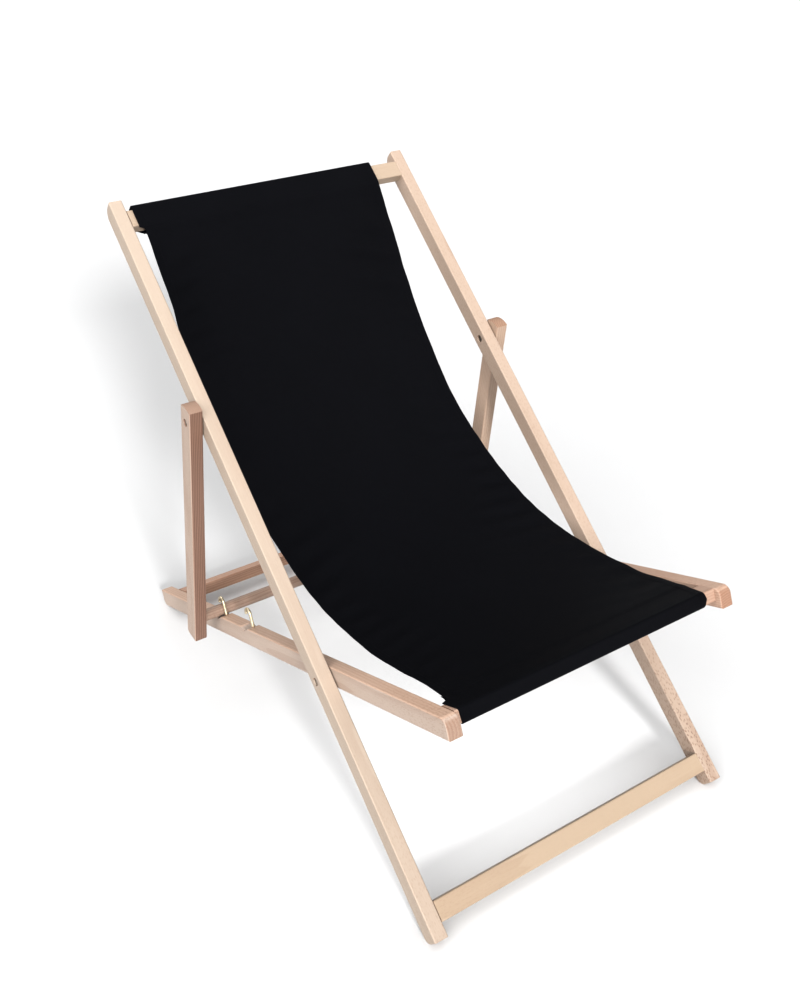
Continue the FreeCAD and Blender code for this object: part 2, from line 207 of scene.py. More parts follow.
def beechGrainGroup():
    # Year rings are shells round a heart line beside the lath, so every face shows its own cut of them.
    # Y runs along the grain. Fine fibres, short dark rays and slow patches of tone lie over the rings.
    group, given, result = newGroup(
        "beechGrain",
        [("Place", "Vector", (0, 0, 0)), ("Heart", "Vector", (0.05, 0, 0.03)),
         ("Pale", "Color", (0.6, 0.45, 0.32, 1)), ("Deep", "Color", (0.4, 0.26, 0.17, 1)),
         ("Ring Width", "Float", 0.003), ("Rings", "Float", 0.4), ("Fibres", "Float", 0.3),
         ("Rays", "Float", 0.5), ("Fleck", "Color", (0.25, 0.13, 0.07, 1)), ("End Grain", "Float", 0.0)],
        [("Color", "Color"), ("Roughness", "Float"), ("Height", "Float")])
    place = given["Place"]
    wander = noiseAt(group, place, grain["wander"])
    shiver = noiseAt(group, place, grain["shiver"], detail=1.0)
    fromHeart = addNode(group, "VectorMath", {0: place, 1: given["Heart"]}, operation="ADD").outputs[0]
    parts = addNode(group, "SeparateXYZ", {0: fromHeart}).outputs
    reach = calc(group, "SQRT", calc(group, "ADD", calc(group, "MULTIPLY", parts[0], parts[0]),
                                     calc(group, "MULTIPLY", parts[2], parts[2])))
    reach = calc(group, "MULTIPLY_ADD", wander, grain["wanderReach"], reach)
    reach = calc(group, "MULTIPLY_ADD", shiver, grain["shiverReach"], reach)
    year = calc(group, "FRACT", calc(group, "DIVIDE", reach, given["Ring Width"]))
    lateWood = ramp(group, year, grain["lateFrom"], grain["lateTo"])
    lateWood = calc(group, "SUBTRACT", lateWood, ramp(group, year, grain["lateTo"], 1.0))
    fibre = noiseAt(group, place, grain["fibre"], roughness=0.6)
    patch = noiseAt(group, place, grain["patch"])
    cells = addNode(group, "TexVoronoi", {"Vector": stretched(group, place, grain["fleck"]), "Scale": 1.0})
    rays = calc(group, "SUBTRACT", 1.0, ramp(group, cells.outputs["Distance"], *grain["fleckEdge"]))
    pores = ramp(group, noiseAt(group, place, grain["pore"], detail=1.0), *grain["poreEdge"])

    deepShare = calc(group, "MULTIPLY", lateWood, given["Rings"])
    fibreTone = calc(group, "SUBTRACT", fibre, grain["fibreMiddle"])
    deepShare = calc(group, "MULTIPLY_ADD", fibreTone, given["Fibres"], deepShare)
    patchTone = calc(group, "SUBTRACT", patch, grain["patchMiddle"])
    deepShare = calc(group, "MULTIPLY_ADD", patchTone, grain["patchShare"], deepShare)
    deepShare = calc(group, "MULTIPLY_ADD", given["End Grain"], grain["endShare"], deepShare)
    deepShare = addNode(group, "Clamp", {"Value": deepShare}).outputs[0]
    colour = blendColour(group, deepShare, given["Pale"], given["Deep"])
    fleck = calc(group, "MULTIPLY", rays, given["Rays"])
    colour = blendColour(group, fleck, colour, given["Fleck"])
    group.links.new(colour, result["Color"])

    rough = calc(group, "MULTIPLY_ADD", fibre, grain["fibreRough"], grain["rough"])
    rough = calc(group, "MULTIPLY_ADD", given["End Grain"], grain["endRough"], rough)
    group.links.new(rough, result["Roughness"])
    height = calc(group, "MULTIPLY", lateWood, grain["lateHeight"])
    height = calc(group, "MULTIPLY_ADD", fibre, grain["fibreHeight"], height)
    height = calc(group, "SUBTRACT", height, calc(group, "MULTIPLY", pores, grain["poreHeight"]))
    group.links.new(height, result["Height"])
    return group


weave = dict(   # lumps to the metre across and along the strip
    slub=(900, 26, 1),
    slubAcross=(26, 900, 1),
    fade=(7, 5, 1),
    crownShare=0.55,         # how much of the worn tone the threads' crowns, the slubs and the fading bring
    yarnShare=0.6,
    fadeShare=0.5,
    rough=0.48,
    yarnRough=0.2,
    yarnHeight=0.35,
)


def canvasWeaveGroup():
    # Plain weave on UV in metres: warp and weft threads are half waves that pass over one another
    # in turn, with slubs in the yarn and soft patches of fading.
    group, given, result = newGroup(
        "canvasWeave",
        [("Place", "Vector", (0, 0, 0)), ("Thread", "Float", 0.0007),
         ("Dark", "Color", (0.006, 0.006, 0.008, 1)), ("Worn", "Color", (0.02, 0.02, 0.024, 1))],
        [("Color", "Color"), ("Roughness", "Float"), ("Height", "Float")])
    place = given["Place"]
    parts = addNode(group, "SeparateXYZ", {0: place}).outputs
    across = calc(group, "DIVIDE", parts[0], given["Thread"])
    along = calc(group, "DIVIDE", parts[1], given["Thread"])
    warp = calc(group, "ABSOLUTE", calc(group, "SINE", calc(group, "MULTIPLY", across, math.pi)))
    weft = calc(group, "ABSOLUTE", calc(group, "SINE", calc(group, "MULTIPLY", along, math.pi)))
    check = calc(group, "ADD", calc(group, "FLOOR", across), calc(group, "FLOOR", along))
    over = calc(group, "PINGPONG", check, 1.0)
    under = calc(group, "SUBTRACT", 1.0, over)
    crown = calc(group, "ADD", calc(group, "MULTIPLY", warp, over), calc(group, "MULTIPLY", weft, under))
    slub = noiseAt(group, place, weave["slub"], roughness=0.6)
    slubAcross = noiseAt(group, place, weave["slubAcross"], roughness=0.6)
    yarn = calc(group, "MULTIPLY_ADD", slub, 0.5, calc(group, "MULTIPLY", slubAcross, 0.5))
    fade = noiseAt(group, place, weave["fade"], detail=3.0, roughness=0.55)
    share = calc(group, "MULTIPLY", crown, weave["crownShare"])
    share = calc(group, "MULTIPLY_ADD", calc(group, "SUBTRACT", yarn, 0.5), weave["yarnShare"], share)
    share = calc(group, "MULTIPLY_ADD", calc(group, "SUBTRACT", fade, 0.5), weave["fadeShare"], share)
    share = addNode(group, "Clamp", {"Value": share}).outputs[0]
    group.links.new(blendColour(group, share, given["Dark"], given["Worn"]), result["Color"])
    rough = calc(group, "MULTIPLY_ADD", yarn, weave["yarnRough"], weave["rough"])
    group.links.new(rough, result["Roughness"])
    group.links.new(calc(group, "MULTIPLY_ADD", yarn, weave["yarnHeight"], crown), result["Height"])
    return group


rubbed = dict(   # lumps to the metre
    spots=(260, 260, 260),
    scuff=(2400, 420, 900),
    spotEdge=(0.42, 0.68),
    spotRough=0.3,
    scuffRough=0.12,
    spotHeight=-0.4,
)


def handledMetalGroup():
    # Rubbed metal: fine scuffs and dull spots change its tone and its gloss.
    group, given, result = newGroup(
        "handledMetal",
        [("Place", "Vector", (0, 0, 0)), ("Bright", "Color", (0.8, 0.65, 0.35, 1)),
         ("Dull", "Color", (0.4, 0.3, 0.15, 1)), ("Tarnish", "Float", 0.5), ("Gloss", "Float", 0.3)],
        [("Color", "Color"), ("Roughness", "Float"), ("Height", "Float")])
    place = given["Place"]
    dull = noiseAt(group, place, rubbed["spots"], detail=4.0, roughness=0.6)
    spots = ramp(group, dull, *rubbed["spotEdge"])
    scuff = noiseAt(group, place, rubbed["scuff"], roughness=0.7)
    share = calc(group, "MULTIPLY", spots, given["Tarnish"])
    group.links.new(blendColour(group, share, given["Bright"], given["Dull"]), result["Color"])
    rough = calc(group, "MULTIPLY_ADD", share, rubbed["spotRough"], given["Gloss"])
    rough = calc(group, "MULTIPLY_ADD", scuff, rubbed["scuffRough"], rough)
    group.links.new(rough, result["Roughness"])
    group.links.new(calc(group, "MULTIPLY_ADD", spots, rubbed["spotHeight"], scuff), result["Height"])
    return group


beechGrain = beechGrainGroup()
canvasWeave = canvasWeaveGroup()
handledMetal = handledMetalGroup()


def newMaterial(name):
    material = bpy.data.materials.new(name)
    material.use_nodes = True
    tree = material.node_tree
    return material, tree, tree.nodes["Principled BSDF"]


def dressShader(tree, shader, group, values, bump):
    # one shared effect into the shader: colour, roughness and a bump of the given depth
    effect = tree.nodes.new("ShaderNodeGroup")
    effect.node_tree = group
    for key, value in values.items():
        if isinstance(value, bpy.types.NodeSocket):
            tree.links.new(value, effect.inputs[key])
        else:
            effect.inputs[key].default_value = value
    raised = addNode(tree, "Bump", {"Height": effect.outputs["Height"], "Distance": bump, "Strength": 1.0})
    tree.links.new(effect.outputs["Color"], shader.inputs["Base Color"])
    tree.links.new(effect.outputs["Roughness"], shader.inputs["Roughness"])
    tree.links.new(raised.outputs[0], shader.inputs["Normal"])


# Beech: one material for each lath, with its own cut from the tree

beech = dict(
    pale=(0.357, 0.300, 0.248, 1),
    deep=(0.213, 0.140, 0.097, 1),
    fleck=(0.150, 0.082, 0.052, 1),
    fleckFade=(-0.36, -0.04),          # flecks thin out along the laths from the foot upwards
    fleckLeft=0.22,
    fibres=0.32,
    endFacing=(0.6, 0.9),              # how squarely a face must look along the grain to be end grain
    specular=0.35,
    bump=0.00012,
)
cuts = {   # lath frame, along the lath or across the chair, heart of the tree, ring width, rings, rays, tint
    "back_rail_left": (backLath, "along", (-0.262, 0.10, 0.062), 0.0040, 0.22, 0.80, (0.945, 0.885, 0.865)),
    "back_rail_right": (backLath, "along", (0.264, 0.70, 0.085), 0.0046, 0.14, 0.16, (0.97, 0.955, 0.95)),
    "seat_rail_left": (seatLath, "along", (-0.240, 0.30, 0.070), 0.0036, 0.30, 0.30, (1.06, 0.90, 0.845)),
    "seat_rail_right": (seatLath, "along", (0.292, 1.10, 0.004), 0.0050, 0.22, 0.30, (1.03, 0.99, 1.01)),
    "prop_leg_left": (propLath, "along", (-0.250, 0.50, 0.030), 0.0030, 0.34, 0.30, (1.00, 0.90, 0.85)),
    # near prop leg: its strong rings deepen all but its outer face, partly grain and partly painted shade
    "prop_leg_right": (propLath, "along", (0.390, 1.70, 0.003), 0.0030, 0.90, 0.20, (0.93, 0.87, 0.87)),
    "top_bar": (backLath, "across", (0.777, 0.20, 0.060), 0.0044, 0.16, 0.20, (0.90, 0.855, 0.80)),
    "front_rung": (backLath, "across", (-0.353, 0.90, 0.080), 0.0046, 0.16, 0.16, (0.91, 0.85, 0.765)),
    "seat_front_bar": (seatLath, "across", (-0.285, 0.40, 0.060), 0.0038, 0.30, 0.20, (0.95, 0.80, 0.75)),
    "seat_rear_bar": (seatLath, "across", (0.655, 0.80, 0.030), 0.0030, 0.50, 0.25, (1.12, 0.87, 0.77)),
    "prop_bar": (propLath, "across", (-0.410, 1.30, 0.040), 0.0034, 0.40, 0.25, (0.75, 0.65, 0.62)),
}
# The near prop leg is darker on all but its outer face, partly its streaky grain and partly painted shade.
# The near seat rail's top face is painted lighter, as if lit from above.
faceGrainAndPaintedLight = {   # painted light and shade past a line: axis, line, tints of pale and deep, share of the rings before it
    "prop_leg_right": (0, (-0.2968, -0.2950), (0.630, 0.470, 0.427), (0.399, 0.329, 0.330), 0.2),
    "seat_rail_right": (2, (0.0125, 0.0148), (1.20, 1.03, 0.96), (1.20, 1.03, 0.96), 1.0),
}


def tinted(tone, tint):
    return (*np.multiply(tone[:3], tint), 1)


def beechMaterial(node):
    lath, direction, heart, ringWidth, rings, rays, tint = cuts[node]
    material, tree, shader = newMaterial("beech_" + node)
    coordinates = addNode(tree, "TexCoord").outputs
    turn = (-lath["angle"], 0, math.pi / 2 if direction == "across" else 0)
    centre = -toWorld(lath, 0, 0)
    moved = addNode(tree, "Mapping", {"Vector": coordinates["Object"], "Location": (0, *centre)}).outputs[0]
    place = addNode(tree, "Mapping", {"Vector": moved, "Rotation": turn}).outputs[0]
    facing = addNode(tree, "Mapping", {"Vector": coordinates["Normal"], "Rotation": turn}).outputs[0]
    alongGrain = addNode(tree, "SeparateXYZ", {0: facing}).outputs[1]
    spot = addNode(tree, "SeparateXYZ", {0: place}).outputs
    thinning = calc(tree, "MULTIPLY", ramp(tree, spot[1], *beech["fleckFade"]), 1 - beech["fleckLeft"])
    rays = calc(tree, "MULTIPLY", calc(tree, "SUBTRACT", 1.0, thinning), rays)
    pale, deep = (tinted(beech[tone], tint) for tone in ("pale", "deep"))
    endGrain = ramp(tree, calc(tree, "ABSOLUTE", alongGrain), *beech["endFacing"])
    # painted light and shade: past the line a face takes other tones, darker on the near prop leg (partly
    # grain) and lighter on the near seat rail's top face
    if node in faceGrainAndPaintedLight:
        axis, line, paleTint, deepTint, ringsBefore = faceGrainAndPaintedLight[node]
        past = calc(tree, "MULTIPLY", ramp(tree, spot[axis], *line), calc(tree, "SUBTRACT", 1.0, endGrain))
        pale = blendColour(tree, past, pale, tinted(beech["pale"], paleTint))
        deep = blendColour(tree, past, deep, tinted(beech["deep"], deepTint))
        ringShare = calc(tree, "MULTIPLY_ADD", past, 1 - ringsBefore, ringsBefore)
        rings = calc(tree, "MULTIPLY", ringShare, rings)
    dressShader(tree, shader, beechGrain,
                {"Place": place, "Heart": heart, "Pale": pale, "Deep": deep,
                 "Ring Width": ringWidth, "Rings": rings, "Fibres": beech["fibres"], "Rays": rays,
                 "Fleck": beech["fleck"], "End Grain": endGrain}, beech["bump"])
    shader.inputs["Specular IOR Level"].default_value = beech["specular"]
    return material


def dressNode(name, material):
    mesh = nodes[name].data
    mesh.materials.clear()
    mesh.materials.append(material)


for name in cuts:
    dressNode(name, beechMaterial(name))
print("beech on", len(cuts), "laths and bars")


# Metals

steelLook = {"Bright": (0.32, 0.29, 0.26, 1), "Dull": (0.11, 0.095, 0.08, 1), "Tarnish": 0.8, "Gloss": 0.30}
brassLook = {"Bright": (0.60, 0.53, 0.40, 1), "Dull": (0.40, 0.33, 0.21, 1), "Tarnish": 0.6, "Gloss": 0.36}
metalBump = 0.00003


def metalMaterial(name, look):
    material, tree, shader = newMaterial(name)
    place = addNode(tree, "TexCoord").outputs["Object"]
    dressShader(tree, shader, handledMetal, {"Place": place, **look}, metalBump)
    shader.inputs["Metallic"].default_value = 1.0
    return material


darkSteel = metalMaterial("dark_steel", steelLook)
brassWire = metalMaterial("brass_wire", brassLook)
for pivot in ("frame_pivot", "prop_pivot"):
    for part in ("screws", "sleeve_nuts", "washers"):
        dressNode(f"{pivot}_{part}", darkSteel)
print("steel on the pivots")


# Brass hooks: a round wire carried along a shank, a half circle to the rear and a short tip

hook = dict(
    wire=0.0050,
    tip=0.0025,          # straight end after the bend
    sunk=0.002,          # shank taken into the wood
    sides=20,
    shankSteps=6,
    bendSteps=28,
    tipSteps=8,
    flatReach=math.cos(math.pi / 8),   # the CAD wire has eight flats
    point=1e-5,          # radius left at the very end of the tip
)


def hookPoints(node, side):
    # circle of the wire swept along the path; heading turns by half a circle through the bend,
    # and the last rows shrink as a round end does
    low, high = lathBox(node, seatLath)
    wire = hook["wire"] / 2
    reach = wire * hook["flatReach"]
    shankAt = low[1] + reach
    bend = (high[1] - low[1]) / 2 - reach
    shankTop = high[2] - reach - bend
    tipEnd = shankTop - hook["tip"]
    railTop = lathBox("seat_rail_right", seatLath)[1][2]
    turn = np.linspace(0, math.pi, hook["bendSteps"])
    cap = np.linspace(0, math.pi / 2, hook["tipSteps"])
    rise = np.linspace(railTop - hook["sunk"], shankTop, hook["shankSteps"], endpoint=False)
    along = np.concatenate([np.full(len(rise), shankAt), shankAt + bend - bend * np.cos(turn),
                            np.full(len(cap), shankAt + 2 * bend)])
    out = np.concatenate([rise, shankTop + bend * np.sin(turn), tipEnd + wire - wire * np.sin(cap)])
    heading = np.concatenate([np.zeros(len(rise)), turn, np.full(len(cap), math.pi)])
    radius = np.concatenate([np.full(len(rise) + len(turn), wire), wire * np.cos(cap) + hook["point"]])
    aroundWire = np.linspace(0, 2 * math.pi, hook["sides"], endpoint=False)
    x = side * (high[0] - reach) + radius[:, None] * np.cos(aroundWire)
    offPath = radius[:, None] * np.sin(aroundWire)
    alongAll = along[:, None] - offPath * np.cos(heading)[:, None]
    outAll = out[:, None] + offPath * np.sin(heading)[:, None]
    return np.concatenate([x[..., None], toWorld(seatLath, alongAll, outAll)], -1)


def brassHooks(name, node):
    points, faces = [], []
    for side in (-1, 1):
        ring = hookPoints(node, side)
        rows, sides = ring.shape[:2]
        base = sum(len(made) for made in points)
        faces += (gridFaces(rows, sides)[:, ::-1] + base).tolist()
        faces.append(list(range(base, base + sides)))
        faces.append(list(range(base + rows * sides - 1, base + (rows - 1) * sides - 1, -1)))
        points.append(ring.reshape(-1, 3))
    piece = makePiece(name, np.concatenate(points), faces, brassWire)
    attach(piece, "seat_frame")
    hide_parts(node)


for notch in ("front", "rear"):
    brassHooks("brass_hooks_" + notch, "stop_hooks_" + notch)
print("brass hooks bent")


# Canvas: one strip of cloth, sewn into a sleeve round the top bar and round the seat's front bar.
# On the cloth, x runs across the strip and s is the length along it.

canvas = dict(
    width=0.439,
    ply=0.0010,              # one thickness of cloth
    hem=0.016,               # side hems, folded under
    hemPly=0.0009,           # what the fold adds below
    hemFold=(-0.0004, 0.0006),         # across the hem's inner edge, where the added ply begins
    foldColumns=(-0.0003, 0.0005, 0.002),
    edgeColumns=(0.004, 0.008),        # in from the folded edge
    hemRow=0.003,            # stitches to the hem's inner edge
    groove=0.00028,          # how deep the stitches draw the cloth in, and how widely
    grooveHalf=0.0008,
    edgeRound=0.0012,        # the folded edge
    edgePoints=5,
    edgeRun=0.07,            # how far in from an edge its drawing in or out is felt
    topRoom=0.0030,          # bar's face to the middle of the cloth
    topSlack=0.0030,         # more on the upper side, where the sleeve is loose
    topBend=0.0030,          # and how sharply it goes round the bar
    frontRoom=0.0013,
    frontBend=0.0040,
    topShift=-0.017,         # the top sleeve sits off centre on its bar
    sag=0.217,               # depth under the straight line between the bars
    sagShare=0.51,
    topSlope=38,             # degrees off that line at the top
    frontSlope=47,
    topPull=0.225,           # how far the end directions reach into the curve
    lowPulls=(0.150, 0.152),
    frontPull=0.185,
    topSeam=0.007,           # bar to the seam that closes the sleeve
    frontSeam=0.010,
    seamTail=0.009,
    tailFade=0.012,          # so far past a tail the hems have their full thickness
    tailPlain=0.6,           # share of all that with one ply alone
    seamGap=0.0022,          # under ply below the sling's middle
    seamBend=0.02,           # where the under ply turns from the bar to the sling
    leaveBend=0.02,          # where the sling leaves the top sleeve
    arriveBend=0.05,         # and where it comes to the front one
    handOver=8,              # first and last points of the sling's curve left to those bends
    blendFrom=0.04,          # a place on the path this far below the top bar, kept as blendStart, which nothing further uses
    blendTo=0.05,            # and one this far before the front bar, kept as blendEnd
    arcPoints=9,
    curvePoints=160,
    spacing=0.004,
    leastStep=1e-5,
    columns=64,
)


def unit(vector):
    return vector / np.linalg.norm(vector)


def roundedPath(corners, bends):
    # straight runs, with an arc tangent to both runs in place of each inner corner
    runs = [corners[:1]]
    for before, at, after, bend in zip(corners, corners[1:], corners[2:], bends):
        goingIn, goingOut = unit(at - before), unit(after - at)
        first = math.atan2(goingIn[1], goingIn[0])
        turn = math.atan2(goingIn[0] * goingOut[1] - goingIn[1] * goingOut[0], goingIn @ goingOut)
        start = at - goingIn * bend * math.tan(abs(turn) / 2)
        angle = first + np.linspace(0, turn, canvas["arcPoints"])
        arc = np.stack([np.sin(angle) - math.sin(first), math.cos(first) - np.cos(angle)], 1)
        runs.append(start + math.copysign(bend, turn) * arc)
    runs.append(corners[-1:])
    return np.concatenate(runs)


def cubic(start, leaveBy, arriveBy, end):
    # cubic curve from start to end that leaves towards one point and arrives from another
    t = np.linspace(0, 1, canvas["curvePoints"])[:, None]
    return (start * (1 - t) ** 3 + 3 * leaveBy * t * (1 - t) ** 2
            + 3 * arriveBy * t ** 2 * (1 - t) + end * t ** 3)


def turned(vector, degrees):
    angle = math.radians(degrees)
    return np.array([vector[0] * math.cos(angle) - vector[1] * math.sin(angle),
                     vector[0] * math.sin(angle) + vector[1] * math.cos(angle)])


def lengthAlong(points):
    return np.concatenate([[0], np.cumsum(np.linalg.norm(np.diff(points, axis=0), axis=1))])


def outward(points, s):
    # unit normals on the sitter's side: the direction of travel turned a quarter clockwise
    travel = np.stack([np.gradient(points[:, 0], s), np.gradient(points[:, 1], s)], 1)
    travel /= np.linalg.norm(travel, axis=1)[:, None]
    return np.stack([travel[:, 1], -travel[:, 0]], 1)


def sleeveCorners(node, lath, room, slack=0.0):
    # corners of the cloth round a bar: low and high along the lath, low and high out of it
    low, high = lathBox(node, lath)
    near, far = low[1] - room, high[1] + room + slack
    under, over = low[2] - room, high[2] + room
    return [toWorld(lath, *corner) for corner in ((near, under), (far, under), (far, over), (near, over))]


def slingCurve(top, front):
    # two cubics that meet at the deepest point, where the cloth runs parallel to a line between the bars
    line = unit(front - top)
    down = turned(line, 90)
    span = np.linalg.norm(front - top)
    deepest = top + line * span * canvas["sagShare"] + down * canvas["sag"]
    leave, arrive = turned(line, canvas["topSlope"]), turned(line, -canvas["frontSlope"])
    before, after = canvas["lowPulls"]
    upper = cubic(top, top + leave * canvas["topPull"], deepest - line * before, deepest)
    lower = cubic(deepest, deepest + line * after, front - arrive * canvas["frontPull"], front)
    return np.concatenate([upper, lower[1:]])


def pointsBelow(curve, distances):
    # places under the sling at these lengths from its start
    s = lengthAlong(curve)
    normal = outward(curve, s)
    low = curve - normal * canvas["seamGap"]
    return [np.array([np.interp(at, s, low[:, 0]), np.interp(at, s, low[:, 1])]) for at in distances]


def evenSteps(rough):
    # the same line with its corners kept and no step longer than the spacing
    s = lengthAlong(rough)
    keep = np.concatenate([[True], np.diff(s) > canvas["leastStep"]])
    rough, s = rough[keep], s[keep]
    counts = np.maximum(np.ceil(np.diff(s) / canvas["spacing"]), 1).astype(int)
    steps = [np.linspace(low, high, count, endpoint=False) for low, high, count in zip(s, s[1:], counts)]
    stations = np.append(np.concatenate(steps), s[-1])
    return np.stack([np.interp(stations, s, rough[:, 0]), np.interp(stations, s, rough[:, 1])], 1), stations


def clothPath():
    # the whole strip seen from the side: tail, round the top bar, the sling, round the front bar, tail
    topSleeve = sleeveCorners("top_bar", backLath, canvas["topRoom"], canvas["topSlack"])
    topNearUnder, topFarUnder, topFarOver, topNearOver = topSleeve
    frontSleeve = sleeveCorners("seat_front_bar", seatLath, canvas["frontRoom"])
    frontNearUnder, frontFarUnder, frontFarOver, frontNearOver = frontSleeve
    sling = slingCurve(topNearOver, frontFarOver)
    total = lengthAlong(sling)[-1]
    tail, seam = canvas["seamTail"], canvas["topSeam"]
    seamIn, seamEnd = pointsBelow(sling, (seam, seam + tail))
    seam = canvas["frontSeam"]
    frontIn, frontEnd = pointsBelow(sling, (total - seam, total - seam - tail))
    bend, wide, seamBend = canvas["topBend"], canvas["frontBend"], canvas["seamBend"]
    inner = canvas["handOver"]
    start = roundedPath(np.array([seamEnd, seamIn, topNearUnder, topFarUnder, topFarOver, topNearOver,
                                  sling[inner]]), (seamBend, bend, bend, bend, canvas["leaveBend"]))
    end = roundedPath(np.array([sling[-inner], frontFarOver, frontNearOver, frontNearUnder, frontFarUnder,
                                frontIn, frontEnd]), (canvas["arriveBend"], wide, wide, wide, seamBend))
    path, stations = evenSteps(np.concatenate([start, sling[inner + 1:-inner], end[1:]]))
    leaves = np.linalg.norm(path - topNearOver, axis=1).argmin()
    arrives = np.linalg.norm(path - frontFarOver, axis=1).argmin()
    return path, stations, stations[leaves], stations[arrives]


path, stations, slingStart, slingEnd = clothPath()
slingRun = slingEnd - slingStart
pathNormal = outward(path, stations)
print("cloth path", round(stations[-1], 4), "m, of which the sling", round(slingRun, 4), "m")


def ease(value, low, high):
    # 0 at low to 1 at high, level at both ends
    t = np.clip((value - low) / (high - low), 0, 1)
    return t * t * (3 - 2 * t)


ripples = dict(
    grow=(0.02, 0.12),       # shares of the sling over which the swells grow and die away
    fade=(0.90, 0.985),
    edge=0.0022,             # puckers that run in from the hems
    edgeWaves=22,
    edgeSlant=1.3,           # waves by which a pucker has leant over at the middle of the cloth
    edgeDrift=(0.5, 9),      # waves by which puckers come early or late, and the pace of that
    edgeFrom=0.45,           # share of the half width where they begin
    edgeWander=(0.20, 23, 1.7),        # how much that changes, its pace, and its lag between the edges
    edgeFull=0.88,           # and where they are full
    edgeUneven=(0.65, 0.35, 13),       # steady and changing share of their height, and the pace
    rim=(0.86, 0.99),        # where the hem holds them down, and by how much
    rimHold=0.8,
    corner=0.0010,           # pulls that run in from the sleeves' corners
    cornerWave=0.052,
    cornerReach=0.10,
    cornerLong=0.7,          # under 1 they reach further along the strip than across it
    cornerSlope=0.6,
    cornerFree=(0.006, 0.05),          # distance from the sleeve over which they grow
    cornerLeans=((-1, 0, 0.75), (1, 0, -0.65), (-1, 1, -0.5), (1, 1, 0.55)),   # side, top or front, lean
    broad=0.0024,            # slow unevenness of the stretched cloth, and a finer one
    uneven=0.0010,
    broadWaves=((9, 4, 0), (2.2, 7.5, 0.6)),           # pace across and along, and start
    unevenWaves=((24, -9, 1.0), (8, 21, 0)),
)


def edgePuckers(x, share):
    # a wave along each edge: strongest near the hem, held down by the hem itself, and leaning inwards
    side = np.abs(x) / (canvas["width"] / 2)
    hand = np.sign(x)
    change, pace, lag = ripples["edgeWander"]
    begin = ripples["edgeFrom"] + change * np.sin(pace * share + lag * hand)
    held = 1 - ripples["rimHold"] * ease(side, *ripples["rim"])
    strength = ease(side, begin, ripples["edgeFull"]) * held
    steady, change, pace = ripples["edgeUneven"]
    strength = strength * (steady + change * np.sin(pace * share + x))
    drift, pace = ripples["edgeDrift"]
    waves = ripples["edgeWaves"] * share + drift * np.sin(pace * share + hand)
    waves = waves + ripples["edgeSlant"] * (1 - side)
    return ripples["edge"] * strength * np.sin(2 * math.pi * waves)


def cornerPulls(x, s):
    # a slanting wave at each corner of the sling that dies away with the distance from the corner
    lift = 0.0
    for hand, end, lean in ripples["cornerLeans"]:
        dx = x - hand * canvas["width"] / 2
        ds = s - (slingStart + end * slingRun)
        apart = np.hypot(dx, ripples["cornerLong"] * ds) / ripples["cornerReach"]
        waves = (dx * lean + ds * ripples["cornerSlope"]) / ripples["cornerWave"]
        pull = np.exp(-apart ** 2) * np.sin(2 * math.pi * waves)
        lift = lift + pull * ease(np.abs(ds), *ripples["cornerFree"])
    return ripples["corner"] * lift


def slowSwell(x, share, waves):
    # product of sine waves, each with its own pace across and along the cloth
    return np.prod([np.sin(across * x + along * share + start) for across, along, start in waves], axis=0)


def clothLift(x, s):
    # small swells of the sling off its even curve, none at the sleeves
    share = (s - slingStart) / slingRun
    free = ease(share, *ripples["grow"]) * (1 - ease(share, *ripples["fade"]))
    swell = ripples["broad"] * slowSwell(x, share, ripples["broadWaves"])
    swell = swell + ripples["uneven"] * slowSwell(x, share, ripples["unevenWaves"])
    lift = free * (edgePuckers(x, share) + swell) + cornerPulls(x, s)
    return np.where((share > 0) & (share < 1), lift, 0.0)


def edgeStations(fromTop, shares, fromFront):
    # places along the strip: by the top bar, by shares of the sling, by the front bar
    return np.concatenate([slingStart + np.array(fromTop), slingStart + np.array(shares) * slingRun,
                           slingEnd + np.array(fromFront)])


clothEdges = {   # how far each edge stands out past the even strip: it necks in and flares to its sleeves
    -1: dict(at=edgeStations((-0.102, -0.094, 0.001, 0.005),
                             (0.13, 0.22, 0.55, 0.70, 0.82, 0.91, 0.965),
                             (-0.004, 0.0, 0.054, 0.084, 0.092)),
             out=(-0.006, 0.0065, 0.0065, -0.0015,
                  -0.0085, -0.0035, -0.0105, -0.0055, -0.0055, -0.011, -0.0095,
                  -0.005, 0.006, 0.001, 0.001, -0.006)),
    1: dict(at=edgeStations((-0.102, -0.094, 0.005),
                            (0.08, 0.15, 0.30, 0.38, 0.48, 0.63, 0.72, 0.86, 0.985),
                            (0.0, 0.031, 0.042, 0.054, 0.084, 0.092)),
            out=(-0.009, -0.0045, -0.0035,
                 -0.0015, -0.002, 0.0015, 0.0, 0.002, -0.0035, -0.003, 0.0015, -0.0035,
                 -0.007, -0.012, -0.008, -0.014, -0.017, -0.022)),
}


def clothAcross(x, s):
    # the strip runs straight from its place on the top bar to the middle of the front bar,
    # with its outer parts drawn in or out
    share = np.clip((s - slingStart) / slingRun, 0, 1)
    half = canvas["width"] / 2
    right, left = (np.interp(s, clothEdges[hand]["at"], clothEdges[hand]["out"]) for hand in (-1, 1))
    drawn = np.where(x < 0, -right, left)
    return x + canvas["topShift"] * (1 - share) + drawn * ease(np.abs(x), half - canvas["edgeRun"], half)


